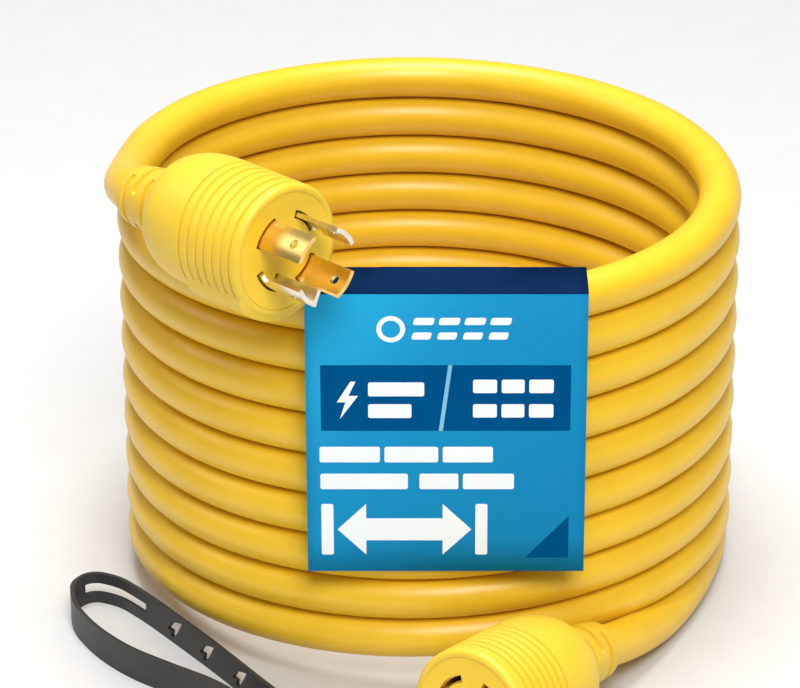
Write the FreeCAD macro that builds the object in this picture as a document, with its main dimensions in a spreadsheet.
import FreeCAD, Part
import math
import os
import Sketcher
from FreeCAD import Placement, Rotation, Vector

# A 30 A, four-wire generator cord: a locking plug, a locking connector, and the heavy cord
# between them wound into an upright coil, with the printed card that sits astride the coil's
# wall and the loose strap beside it. Millimetres, +Z up, the floor at Z = 0.
doc = FreeCAD.newDocument("power_cord")

# ---------------------------------------------------------------- driving dimensions
sheet = doc.addObject("Spreadsheet::Sheet", "Dims")
DIMENSIONS = [
    # the cord and its coil
    ("cord_diameter", 17.8), ("coil_radius", 122.2), ("coil_pitch", 17.71),
    ("coil_axis_x", 9.85), ("coil_axis_y", 41.5), ("coil_top", 174.0), ("coil_foot_flat", 5.8),
    ("first_turn_height", 179.8), ("points_per_turn", 24),
    # where the plug and the connector lie: face centre from the coil's axis, height, heading
    ("plug_face_x", -53.9), ("plug_face_y", -151.0), ("plug_height", 205.5),
    ("plug_heading", -45.0), ("plug_rise", 0.0),
    ("connector_face_x", 15.5), ("connector_face_y", -200.4), ("connector_height", 31.9),
    ("connector_heading", -126.4), ("connector_rise", 6.0),
    # moulded bodies, measured back from the face
    ("body_radius", 26.5), ("body_length", 62.0), ("rim_round", 2.5), ("face_edge_radius", 24.3),
    ("shoulder_start", 40.0), ("shoulder_radius", 22.5), ("shoulder_depth", 55.0),
    ("body_back_radius", 16.0), ("groove_count", 7), ("groove_width", 1.4), ("groove_depth", 1.2),
    ("plug_groove_first", 4.2), ("plug_groove_pitch", 4.7),
    ("connector_groove_first", 7.2), ("connector_groove_pitch", 3.9),
    ("pad_width", 45.8), ("pad_length", 31.0), ("pad_start", 1.6), ("pad_proud", 2.1),
    ("pad_top", 12.5), ("cavity_radius", 17.6), ("cavity_end", 46.0),
    # insulating carrier behind the face, with a wider flange at its front
    ("carrier_radius", 20.0), ("carrier_depth", 15.0), ("carrier_recess", 0.3),
    ("flange_radius", 23.2), ("flange_depth", 1.8), ("carrier_fit", 0.05),
    # blades of the 30 A locking pattern, and the slots that take them
    ("blade_circle", 14.6), ("blade_thickness", 1.8), ("blade_span", 46.0),
    ("blade_reach", 22.0), ("blade_root", 11.0), ("blade_hole_radius", 1.9),
    ("blade_hole_inset", 6.0),
    ("notch_span", 10.0), ("notch_bite", 8.0), ("notch_height", 5.0), ("notch_lift", 1.5),
    ("leg_lift", 4.0),
    ("ground_leg", 5.6), ("ground_leg_side", 3.5), ("slot_gap", 0.7), ("slot_overspan", 5.0),
    ("pocket_gap", 1.1), ("pocket_start", 1.5), ("well_gap", 0.1), ("well_depth", 6.2),
    # the connector's spring contacts
    ("contact_wall", 0.9), ("contact_gap", 0.1), ("contact_mouth", 1.6), ("contact_tail", 3.0),
    ("contact_span", 40.0), ("contact_floor", 2.0),
    # crimp barrels, conductors and bare strands
    ("barrel_radius", 2.9), ("barrel_bore", 1.5), ("barrel_length", 11.0), ("barrel_circle", 11.9),
    ("barrel_lap", 2.0), ("contact_barrel_lap", 0.5), ("barrel_floor", 2.0),
    ("strand_radius", 1.35), ("strand_length", 12.0), ("strand_start", 3.0),
    ("conductor_radius", 2.15), ("conductor_circle", 3.3), ("conductor_start", 47.2),
    ("conductor_gap", 4.2), ("jacket_end", 49.0), ("jacket_fit", 0.05),
    # tapered strain reliefs
    ("relief_length", 27.0), ("relief_front_radius", 15.0), ("relief_tail_radius", 11.9),
    # printed card, folded over the coil's wall
    ("card_width", 110.2), ("card_height", 122.1), ("card_thickness", 0.7),
    ("card_left", -48.3), ("card_front", -132.5), ("card_top", 180.9), ("card_depth", 25.2),
    ("flap_width", 50.0), ("flap_height", 58.0), ("flap_left", -18.7),
    # reusable strap
    ("strap_width", 14.0), ("strap_thickness", 1.8), ("strap_slot_height", 4.6),
]
for row, (alias, value) in enumerate(DIMENSIONS, start=1):
    sheet.set("A%d" % row, alias)
    sheet.set("B%d" % row, str(value))
    sheet.setAlias("B%d" % row, alias)
doc.recompute()


def dim(alias):
    """A driving dimension's value."""
    return float(sheet.get(alias))


def bind(obj, **formulas):
    """Ties an object's sizes to the sheet: bind(box, Length="card_width")."""
    for size, formula in formulas.items():
        for alias, _ in sorted(DIMENSIONS, key=lambda item: -len(item[0])):
            formula = formula.replace("<" + alias + ">", "Dims." + alias)
        obj.setExpression(size, formula)


def bound(kind, name, x=None, y=None, z=None, **formulas):
    """A Part primitive whose sizes and position are formulas of the sheet."""
    obj = doc.addObject("Part::" + kind, name)
    bind(obj, **formulas)
    for axis, formula in (("x", x), ("y", y), ("z", z)):
        if formula is not None:
            bind(obj, **{"Placement.Base." + axis: formula})
    return obj


def cut(name, base, tool):
    obj = doc.addObject("Part::Cut", name)
    obj.Base = base
    obj.Tool = tool
    return obj


def fuse(name, *pieces):
    obj = doc.addObject("Part::MultiFuse", name)
    obj.Shapes = list(pieces)
    obj.Refine = True
    return obj


def group(name, *pieces):
    obj = doc.addObject("Part::Compound", name)
    obj.Links = list(pieces)
    return obj


nodes = []


def keep(obj, label, placement=None):
    """Names a finished sub-part and puts it in place."""
    obj.Label = label
    if placement is not None:
        obj.Placement = placement
    nodes.append(obj)
    return obj


# ---------------------------------------------------------------- places
COIL_AXIS = Vector(dim("coil_axis_x"), dim("coil_axis_y"), 0)
CORD_RADIUS = dim("cord_diameter") / 2


def end_placement(end):
    """A moulded end's own frame: the face at local Z = 0, looking out along local +Z.

    Local +Y is up, so local +X is on the right of someone who looks at the face. The nose
    may be raised by a few degrees.
    """
    heading = math.radians(dim(end + "_heading"))
    rise = math.radians(dim(end + "_rise"))
    face = Vector(dim(end + "_face_x"), dim(end + "_face_y"), dim(end + "_height"))
    out = Vector(math.cos(heading) * math.cos(rise), math.sin(heading) * math.cos(rise),
                 math.sin(rise))
    across = Vector(0, 0, 1).cross(out).normalize()
    return Placement(COIL_AXIS + face, Rotation(across, out.cross(across), out, "ZXY"))


# ---------------------------------------------------------------- sketches
def plane(body, role):
    return [item for item in body.Origin.OriginFeatures if item.Role == role][0]


def sketch_on(body, name, role):
    sketch = body.newObject("Sketcher::SketchObject", name)
    sketch.AttachmentSupport = [(plane(body, role), "")]
    sketch.MapMode = "FlatFace"
    return sketch


def outline(sketch, corners):
    """A closed outline of straight lines, each corner's two distances bound to the sheet.

    The outline is first drawn at its final size, so the solver starts from its answer.
    """
    values = [(float(evaluate(u)), float(evaluate(v))) for u, v in corners]
    count = len(corners)
    for i, (u, v) in enumerate(values):
        nu, nv = values[(i + 1) % count]
        sketch.addGeometry(Part.LineSegment(Vector(u, v, 0), Vector(nu, nv, 0)), False)
    for i in range(count):
        sketch.addConstraint(Sketcher.Constraint("Coincident", i, 2, (i + 1) % count, 1))
    for i, corner in enumerate(corners):
        for kind, formula, value in (("DistanceX", corner[0], values[i][0]),
                                     ("DistanceY", corner[1], values[i][1])):
            number = sketch.addConstraint(Sketcher.Constraint(kind, -1, 1, i, 1, value))
            bind(sketch, **{"Constraints[%d]" % number: formula})


def evaluate(formula):
    """The value of a formula of the sheet, through a scratch property of the sheet."""
    for alias, _ in sorted(DIMENSIONS, key=lambda item: -len(item[0])):
        formula = formula.replace("<" + alias + ">", "(Dims." + alias + ")")
    return sheet.evalExpression(formula)


def revolve(body, name, sketch):
    feature = body.newObject("PartDesign::Revolution", name)
    feature.Profile = sketch
    feature.ReferenceAxis = (sketch, ["V_Axis"])
    feature.Angle = 360
    return feature


# ---------------------------------------------------------------- cord routes
def coil_height(turn):
    """Height of the cord's centre after so many turns from the left of the coil.

    The turns descend evenly. The last one settles: it comes down to the floor over the
    first part of its round, then lies on it, and the turns above follow it less and less.
    """
    last_start = 8.65
    ramp = 0.7
    even = dim("first_turn_height") - dim("coil_pitch") * turn
    part = (turn - last_start) % 1.0
    settle = dim("coil_pitch") * (max(0.0, 1 - part / ramp) - (1 - part))
    weight = min(1.0, turn / last_start)
    return max(CORD_RADIUS, even + settle * weight)


def coil_points(first, last):
    """Corners of the polygon that the turns go round in, counted in steps of a turn."""
    steps = int(dim("points_per_turn"))
    corner_radius = dim("coil_radius") / math.cos(math.pi / steps)
    points = []
    for step in range(first, last + 1):
        turn = step / steps
        angle = math.pi - 2 * math.pi * turn
        points.append(Vector(corner_radius * math.cos(angle), corner_radius * math.sin(angle),
                             coil_height(turn)))
    return points


# From the plug's back to the coil: the cord swings round to the left and comes down onto
# the turn below. Distances from the coil's axis.
PLUG_LEAD = [
    Vector(-106.2, -98.8, 204.6),
    Vector(-117.8, -78.2, 200.7),
    Vector(-123.2, -53.8, 193.8),
    Vector(-123.6, -28.4, 187.4),
    Vector(-122.9, -2.6, 182.6),
]
# From the coil's foot to the connector's back: off the floor, round in front of the wall.
CONNECTOR_LEAD = [
    Vector(113.8, -40.0, 8.9),
    Vector(104.5, -65.0, 8.9),
    Vector(93.5, -88.0, 9.9),
    Vector(80.3, -111.3, 15.4),
    Vector(65.0, -133.2, 22.8),
]
PLUG_TURN_STEPS = (1, 12)
CONNECTOR_TURN_STEPS = (222, 228)


def rounded_path(points):
    """Straight runs joined by tangent arcs, each as large as its two runs allow."""
    share = 0.45
    edges = []
    radii = []
    start = points[0]
    for before, corner, after in zip(points, points[1:], points[2:]):
        back = before - corner
        ahead = after - corner
        reach = share * min(back.Length, ahead.Length)
        half_turn = (math.pi - back.getAngle(ahead)) / 2
        radius = reach / math.tan(half_turn)
        radii.append(radius)
        back = Vector(back).normalize()
        ahead = Vector(ahead).normalize()
        entry = corner + back * reach
        leave = corner + ahead * reach
        inward = (back + ahead).normalize()
        centre = corner + inward * (radius / math.cos(half_turn))
        middle = centre - inward * radius
        edges.append(Part.LineSegment(start, entry).toShape())
        edges.append(Part.Arc(entry, middle, leave).toShape())
        start = leave
    edges.append(Part.LineSegment(start, points[-1]).toShape())
    return Part.Wire(edges), radii


def tube(name, label, points):
    """A length of cord as one round tube, its volume compared with section times length."""
    path, radii = rounded_path(points)
    ring = Part.Circle(points[0], points[1] - points[0], CORD_RADIUS).toShape()
    solid = path.makePipeShell([Part.Wire([ring])], True, False, 2)
    expected = math.pi * CORD_RADIUS ** 2 * path.Length
    print("%s: length %.1f, volume ratio %.5f" % (label, path.Length, solid.Volume / expected))
    print("  arc radii", " ".join("%.0f" % radius for radius in radii))
    obj = doc.addObject("Part::Feature", name)
    obj.Shape = solid
    return keep(obj, label, Placement(COIL_AXIS, Rotation()))


def on_axis(end, depth):
    """A point on a moulded end's own axis, so far behind its face, from the coil's axis."""
    return end_placement(end).multVec(Vector(0, 0, -dim(depth))) - COIL_AXIS


def make_cord():
    # The wound turns: one closed ring as wide as the cord, rounded over its top, and with
    # a narrow flat where its lowest turn presses on the floor.
    body = doc.addObject("PartDesign::Body", "CoilBody")
    sketch = sketch_on(body, "CoilProfile", "XZ_Plane")
    inner = "<coil_radius> - <cord_diameter> / 2"
    outer = "<coil_radius> + <cord_diameter> / 2"
    outline(sketch, [(inner, "0"), (outer, "0"), (outer, "<coil_top>"), (inner, "<coil_top>")])
    revolve(body, "CoilRing", sketch)
    doc.recompute()
    rims = rim_edges(body.Shape, dim("coil_top"))
    body_fillet(body, "CoilTopRound", rims, "<cord_diameter> / 2 - 0.02")
    feet = rim_edges(body.Shape, 0)
    body_fillet(body, "CoilFootRound", feet, "(<cord_diameter> - <coil_foot_flat>) / 2")
    keep(body, "cord_coil", Placement(COIL_AXIS, Rotation()))

    tube("PlugLead", "plug_lead",
         [on_axis("plug", "jacket_end")] + PLUG_LEAD + coil_points(*PLUG_TURN_STEPS))
    tube("ConnectorLead", "connector_lead",
         coil_points(*CONNECTOR_TURN_STEPS) + CONNECTOR_LEAD + [on_axis("connector", "jacket_end")])


def rim_edges(shape, height):
    """Names of the round edges that lie wholly at one height."""
    names = []
    for number, edge in enumerate(shape.Edges, start=1):
        box = edge.BoundBox
        if abs(box.ZMin - height) < 0.01 and abs(box.ZMax - height) < 0.01:
            names.append("Edge%d" % number)
    return names


def body_fillet(body, name, edges, radius):
    feature = body.newObject("PartDesign::Fillet", name)
    feature.Base = (body.Tip if body.Tip != feature else feature.BaseFeature, edges)
    bind(feature, Radius=radius)
    doc.recompute()


# ---------------------------------------------------------------- moulded bodies
def make_moulded_body(end):
    """The overmoulded grip: a rounded rim, seven grip grooves and a wide pad below."""
    cap = end.capitalize()
    body = doc.addObject("PartDesign::Body", cap + "Body")
    sketch = sketch_on(body, cap + "BodyProfile", "XZ_Plane")
    bore = "<cord_diameter> / 2 + <jacket_fit>"
    recess = "<carrier_radius> + <carrier_fit>"
    flange = "<flange_radius> + <carrier_fit>"
    outline(sketch, [
        (flange, "0"),
        ("<face_edge_radius>", "0"),
        ("<body_radius> - <rim_round> / 3", "-<rim_round> / 3"),
        ("<body_radius>", "-<rim_round>"),
        ("<body_radius>", "-<shoulder_start>"),
        ("<shoulder_radius>", "-<shoulder_depth>"),
        ("<body_back_radius>", "-<body_length>"),
        (bore, "-<body_length>"),
        (bore, "-<cavity_end>"),
        ("<cavity_radius>", "-<cavity_end>"),
        ("<cavity_radius>", "-<carrier_depth>"),
        (recess, "-<carrier_depth>"),
        (recess, "-<flange_depth>"),
        (flange, "-<flange_depth>"),
    ])
    shell = revolve(body, cap + "BodyShell", sketch)
    doc.recompute()
    full = shell.Shape.Volume

    groove_sketch = sketch_on(body, cap + "GrooveProfile", "XZ_Plane")
    first = "<%s_groove_first>" % end
    top = "-" + first + " + <groove_width> / 2"
    foot = "-" + first + " - <groove_width> / 2"
    inside = "<body_radius> - <groove_depth>"
    outside = "<body_radius> + 1"
    outline(groove_sketch, [(inside, top), (outside, top), (outside, foot), (inside, foot)])
    groove = body.newObject("PartDesign::Groove", cap + "GripGroove")
    groove.Profile = groove_sketch
    groove.ReferenceAxis = (groove_sketch, ["V_Axis"])
    groove.Angle = 360
    doc.recompute()
    pattern = body.newObject("PartDesign::LinearPattern", cap + "GripGrooves")
    pattern.Originals = [groove]
    pattern.Direction = (groove_sketch, ["V_Axis"])
    pattern.Reversed = True
    bind(pattern, Length="<%s_groove_pitch> * (<groove_count> - 1)" % end,
         Occurrences="<groove_count>")
    body.Tip = pattern
    doc.recompute()
    print("%s body: %.0f mm3 before its grooves, %.0f after"
          % (end, full, pattern.Shape.Volume))

    # The pad is a block across the grooves, rounded off below to a cylinder of its own and
    # hollowed so that it only skins the body.
    block = bound("Box", cap + "PadBlock", x="-<pad_width> / 2", y="-<body_radius> - <pad_proud>",
                  z="-<pad_start> - <pad_length>", Length="<pad_width>",
                  Width="<body_radius> + <pad_proud> - <pad_top>", Height="<pad_length>")
    limit = bound("Cylinder", cap + "PadLimit", z="-<pad_start> - <pad_length>",
                  Radius="<body_radius> + <pad_proud>", Height="<pad_length>")
    core = bound("Cylinder", cap + "PadCore", z="-<pad_start> - <pad_length>",
                 Radius="<body_radius> - <groove_depth> - 1", Height="<pad_length>")
    pad = doc.addObject("Part::Common", cap + "Pad")
    pad.Base = block
    pad.Tool = cut(cap + "PadSkin", limit, core)
    whole = fuse(cap + "Moulding", body, pad)
    keep(whole, end + "_body", end_placement(end))


def make_strain_relief(end, route):
    """A tapered flexible sleeve that follows the cord for its first stretch."""
    cap = end.capitalize()
    route = [on_axis(end, "body_length")] + route
    path, _ = rounded_path(route)
    sections = 6
    rings = []
    for i in range(sections):
        along = dim("relief_length") * i / (sections - 1)
        point, heading = at_distance(path, along)
        ring = doc.addObject("Part::Circle", "%sReliefRing%d" % (cap, i))
        share = "%d / %d" % (i, sections - 1)
        bind(ring, Radius="<relief_front_radius> - (<relief_front_radius> - "
                          "<relief_tail_radius>) * " + share)
        ring.Placement = Placement(point, Rotation(Vector(0, 0, 1), heading))
        rings.append(ring)
    sleeve = doc.addObject("Part::Loft", cap + "ReliefSleeve")
    sleeve.Sections = rings
    sleeve.Solid = True
    sleeve.Ruled = False
    core = doc.addObject("Part::Feature", cap + "ReliefCore")
    ring = Part.Circle(route[0], route[1] - route[0], CORD_RADIUS).toShape()
    core.Shape = path.makePipeShell([Part.Wire([ring])], True, False, 2)
    keep(cut(cap + "Relief", sleeve, core), end + "_strain_relief",
         Placement(COIL_AXIS, Rotation()))


def at_distance(path, distance):
    """Point and heading at a distance along a wire of lines and arcs."""
    for edge in path.OrderedEdges:
        if distance <= edge.Length + 1e-6:
            parameter = edge.getParameterByLength(min(distance, edge.Length))
            tangent = edge.tangentAt(parameter)
            return edge.valueAt(parameter), tangent
        distance -= edge.Length
    raise ValueError("the path is shorter than that")


# ---------------------------------------------------------------- contacts
QUARTERS = {"neutral": 45.0, "hot_x": 135.0, "ground": 225.0, "hot_y": 315.0}
# Where the crimp barrels' tops lie, from the face.
BARREL_TOPS = {"plug": "-<blade_root> + <barrel_lap>",
               "connector": "-<carrier_depth> - <contact_tail> + <contact_barrel_lap>"}


def arc_plate(name, middle, gap, span, low, high, angle):
    """A plate bent to the blade circle: `gap` is half its thickness, all as formulas."""
    height = "(%s) - (%s)" % (high, low)
    outer = bound("Cylinder", name + "Outer", z=low, Radius=middle + " + " + gap, Angle=span,
                  Height=height)
    inner = bound("Cylinder", name + "Inner", z=low, Radius=middle + " - " + gap, Height=height)
    start = angle - float(evaluate(span)) / 2
    outer.Placement.Rotation = Rotation(Vector(0, 0, 1), start)
    return cut(name, outer, inner)


def leg_box(name, thickness, low, high, angle):
    """The ground blade's leg: a plate from the blade towards the centre, at one side."""
    box = bound("Box", name, Length="<ground_leg> + 1", Width=thickness,
                Height="(%s) - (%s)" % (high, low))
    side = angle + dim("blade_span") / 2 - dim("ground_leg_side")
    turn = Rotation(Vector(0, 0, 1), side)
    inner_end = dim("blade_circle") - dim("ground_leg")
    corner = turn.multVec(Vector(inner_end, -float(evaluate(thickness)) / 2, 0))
    box.Placement = Placement(corner + Vector(0, 0, float(evaluate(low))), turn)
    return box


def barrel_parts(name, top, angle):
    """A crimp barrel below a blade or contact, and the bore for its strands."""
    spot = Rotation(Vector(0, 0, 1), angle).multVec(Vector(dim("barrel_circle"), 0, 0))
    barrel = bound("Cylinder", name + "Barrel", Radius="<barrel_radius>",
                   Height="<barrel_length>")
    bore = bound("Cylinder", name + "Bore", Radius="<barrel_bore>",
                 Height="<barrel_length> - <barrel_floor> + 1")
    foot = float(evaluate(top)) - dim("barrel_length")
    barrel.Placement.Base = spot + Vector(0, 0, foot)
    bore.Placement.Base = spot + Vector(0, 0, foot - 1)
    return barrel, bore


def make_blades():
    for kind, angle in QUARTERS.items():
        name = "Blade" + kind.title().replace("_", "")
        plate = arc_plate(name + "Plate", "<blade_circle>", "<blade_thickness> / 2",
                          "<blade_span>", "-<blade_root>", "<blade_reach>", angle)
        pieces = [plate]
        if kind == "ground":
            pieces.append(leg_box(name + "Leg", "<blade_thickness>",
                                  "-<blade_root> + <leg_lift>", "<blade_reach>", angle))
        barrel, bore = barrel_parts(name, BARREL_TOPS["plug"], angle)
        pieces.append(barrel)
        solid = fuse(name + "Whole", *pieces)
        hole = bound("Cylinder", name + "Hole", Radius="<blade_hole_radius>",
                     Height="<blade_circle>")
        across = Rotation(Vector(0, 0, 1), Rotation(Vector(0, 0, 1), angle).multVec(
            Vector(1, 0, 0)))
        start = across.multVec(Vector(0, 0, dim("blade_circle") / 2))
        rise = dim("blade_reach") - dim("blade_hole_inset")
        hole.Placement = Placement(start + Vector(0, 0, rise), across)
        notch = bound("Cylinder", name + "Notch", z="<notch_lift>", Radius="<blade_circle> + 3",
                      Angle="<notch_span>", Height="<notch_height>")
        first = angle - dim("blade_span") / 2 - (dim("notch_span") - dim("notch_bite"))
        notch.Placement.Rotation = Rotation(Vector(0, 0, 1), first)
        cutters = fuse(name + "Cutters", bore, hole, notch)
        keep(cut(name, solid, cutters), "plug_blade_" + kind, end_placement("plug"))


def make_contacts():
    """Spring contacts in the connector: a channel that grips a blade, on a crimp barrel."""
    mouth = "-<contact_mouth>"
    floor = "-<carrier_depth> - <contact_tail>"
    for kind, angle in mirrored(QUARTERS).items():
        name = "Contact" + kind.title().replace("_", "")
        inside = "<blade_thickness> / 2 + <contact_gap>"
        block = arc_plate(name + "Block", "<blade_circle>", "(" + inside + " + <contact_wall>)",
                          "<contact_span>", floor, mouth, angle)
        channel = arc_plate(name + "Channel", "<blade_circle>", "(" + inside + ")",
                            "<blade_span>", floor + " + <contact_floor>", mouth + " + 1",
                            angle)
        grip = cut(name + "Grip", block, channel)
        barrel, bore = barrel_parts(name, BARREL_TOPS["connector"], angle)
        solid = fuse(name + "Whole", grip, barrel)
        keep(cut(name, solid, bore), "connector_contact_" + kind, end_placement("connector"))


def mirrored(places):
    """The connector's face is the plug's face seen in a mirror."""
    return {kind: 180.0 - angle for kind, angle in places.items()}


def make_carrier(end, places):
    """The insulating disc behind the face, with a slot for each blade or contact."""
    cap = end.capitalize()
    stem = bound("Cylinder", cap + "Stem", z="-<carrier_depth>", Radius="<carrier_radius>",
                 Height="<carrier_depth> - <carrier_recess>")
    flange = bound("Cylinder", cap + "Flange", z="-<flange_depth>", Radius="<flange_radius>",
                   Height="<flange_depth> - <carrier_recess>")
    disc = fuse(cap + "Disc", stem, flange)
    slots = []
    for kind, angle in places.items():
        name = "%sSlot%s" % (cap, kind.title().replace("_", ""))
        back = "-<carrier_depth> - 1"
        slots.append(arc_plate(name, "<blade_circle>", "(<blade_thickness> / 2 + <slot_gap>)",
                               "<blade_span> + <slot_overspan>", back, "1", angle))
        if end == "connector":
            slots.append(arc_plate(name + "Pocket", "<blade_circle>",
                                   "(<blade_thickness> / 2 + <pocket_gap>)",
                                   "<blade_span> + <slot_overspan>", back, "-<pocket_start>",
                                   angle))
        if kind == "ground":
            far_side = dim("blade_span") - 2 * dim("ground_leg_side")
            side = angle if end == "plug" else angle - far_side
            slots.append(leg_box(name + "Leg", "<blade_thickness> + 2 * <slot_gap>", back, "1",
                                 side))
        spot = Rotation(Vector(0, 0, 1), angle).multVec(Vector(dim("barrel_circle"), 0, 0))
        well = bound("Cylinder", name + "Well", Radius="<barrel_radius> + <well_gap>",
                     Height="<well_depth> + 1")
        well.Placement.Base = spot + Vector(0, 0, -dim("carrier_depth") - 1)
        slots.append(well)
    keep(cut(cap + "Carrier", disc, fuse(cap + "Slots", *slots)), end + "_face_carrier",
         end_placement(end))


def make_conductors(end, places):
    """Four insulated conductors fanning out of the jacket, each with bare strands."""
    foot = float(evaluate(BARREL_TOPS[end])) - dim("barrel_length")
    colours = {"hot_x": "black", "neutral": "white", "hot_y": "red", "ground": "green"}
    strands = []
    for kind, angle in places.items():
        name = end.capitalize() + colours[kind].capitalize()
        turn = Rotation(Vector(0, 0, 1), angle)
        start = turn.multVec(Vector(dim("conductor_circle"), 0, -dim("conductor_start")))
        stop = turn.multVec(Vector(dim("barrel_circle"), 0, foot - dim("conductor_gap")))
        wire = bound("Cylinder", name + "Conductor", Radius="<conductor_radius>")
        wire.Height = (stop - start).Length
        own = Placement(start, Rotation(Vector(0, 0, 1), stop - start))
        keep(wire, "%s_conductor_%s" % (end, colours[kind]), end_placement(end) * own)
        strand = bound("Cylinder", name + "Strands", Radius="<strand_radius>",
                       Height="<strand_length>")
        strand.Placement.Base = turn.multVec(
            Vector(dim("barrel_circle"), 0, foot - dim("strand_start")))
        strands.append(strand)
    keep(group(end.capitalize() + "Strands", *strands), end + "_bare_strands",
         end_placement(end))


# ---------------------------------------------------------------- card and strap
def make_card():
    front = bound("Box", "CardFront", x="<card_left>", y="<card_front>",
                  z="<card_top> - <card_height>", Length="<card_width>",
                  Width="<card_thickness>", Height="<card_height>")
    top = bound("Box", "CardTop", x="<card_left>", y="<card_front>",
                z="<card_top> - <card_thickness>", Length="<card_width>",
                Width="<card_depth>", Height="<card_thickness>")
    flap = bound("Box", "CardFlap", x="<flap_left>",
                 y="<card_front> + <card_depth> - <card_thickness>",
                 z="<card_top> - <flap_height>", Length="<flap_width>",
                 Width="<card_thickness>", Height="<flap_height>")
    keep(fuse("Card", front, top, flap), "printed_card", Placement(COIL_AXIS, Rotation()))


# The strap stands on its edge in a narrow loop: the far leg, with the slot and the locking
# holes, passes the coil's wall, the band turns back at the left, and the near leg returns.
STRAP_ROUTE = [
    (-56.0, -157.5), (-73.5, -132.0), (-88.0, -110.0), (-104.0, -88.0), (-119.0, -67.5),
    (-131.5, -53.0), (-144.0, -47.5), (-151.5, -57.5), (-149.0, -76.0), (-138.5, -96.0),
    (-123.5, -114.0), (-104.5, -128.5), (-86.0, -141.5), (-70.0, -160.0),
]
STRAP_SLOT = ((-118.5, -68.0), (-141.5, -44.0))
STRAP_HOLES = [(-105.8, -85.5), (-91.3, -105.5), (-76.8, -127.0)]
# Outline of a locking hole: distance along the strap, height from its middle.
STRAP_HOLE_SHAPE = [(-5.0, -2.0), (-1.0, 2.8), (2.9, 4.0), (6.4, 4.9), (3.5, 0.2), (0.2, -4.3),
                    (-2.4, -4.6), (-1.8, -1.9)]


def make_strap():
    points = [Vector(x, y, dim("strap_width") / 2) for x, y in STRAP_ROUTE]
    path, radii = rounded_path(points)
    print("strap: length %.1f, least radius %.1f" % (path.Length, min(radii)))
    heading = (points[1] - points[0]).normalize()
    side = heading.cross(Vector(0, 0, 1)) * (dim("strap_thickness") / 2)
    rise = Vector(0, 0, dim("strap_width") / 2)
    corners = [points[0] + side - rise, points[0] + side + rise, points[0] - side + rise,
               points[0] - side - rise]
    section = Part.makePolygon(corners + corners[:1])
    band = path.makePipeShell([section], True, False, 2)
    (x0, y0), (x1, y1) = STRAP_SLOT
    slot_half = dim("strap_slot_height") / 2
    band = band.cut(side_cut(Vector(x0, y0, 0), Vector(x1, y1, 0),
                             [(0, slot_half), (1, slot_half), (1, -slot_half), (0, -slot_half)]))
    for x, y in STRAP_HOLES:
        middle = Vector(x, y, 0)
        ahead = (points[2] - points[4]).normalize()
        band = band.cut(side_cut(middle, middle + ahead, STRAP_HOLE_SHAPE))
    obj = doc.addObject("Part::Feature", "Strap")
    obj.Shape = band
    keep(obj, "cable_strap", Placement(COIL_AXIS, Rotation()))


def side_cut(start, stop, shape):
    """A prism through the standing band: shape is (share of start to stop, height) pairs."""
    reach = 9.0
    along = stop - start
    along.z = 0
    through = Vector(along).normalize().cross(Vector(0, 0, 1)) * reach
    middle = start + Vector(0, 0, dim("strap_width") / 2)
    corners = [middle + along * a + Vector(0, 0, b) - through for a, b in shape]
    face = Part.Face(Part.makePolygon(corners + corners[:1]))
    return face.extrude(through * 2)


# ---------------------------------------------------------------- build, check, write
make_cord()
for end, places in (("plug", QUARTERS), ("connector", mirrored(QUARTERS))):
    make_moulded_body(end)
    make_carrier(end, places)
    make_conductors(end, places)
make_strain_relief("plug", PLUG_LEAD)
make_strain_relief("connector", list(reversed(CONNECTOR_LEAD)))
make_blades()
make_contacts()
make_card()
make_strap()
doc.recompute()

failed = [obj.Name for obj in doc.Objects
          if "Invalid" in obj.State or "Error" in obj.State]
if failed:
    raise SystemExit("failed objects: " + ", ".join(failed))
os.makedirs("parts", exist_ok=True)
whole = FreeCAD.BoundBox()
for node in nodes:
    shape = node.Shape
    if shape.isNull() or not shape.isValid() or not shape.Solids:
        raise SystemExit(node.Label + " has no valid solid")
    whole.add(shape.optimalBoundingBox(False))
    shape.exportStep(os.path.join("parts", node.Label + ".step"))
    print("%-28s %2d solid(s) %10.0f mm3" % (node.Label, len(shape.Solids), shape.Volume))
print("%d nodes, box X %.1f %.1f  Y %.1f %.1f  Z %.1f %.1f" % (
    len(nodes), whole.XMin, whole.XMax, whole.YMin, whole.YMax, whole.ZMin, whole.ZMax))
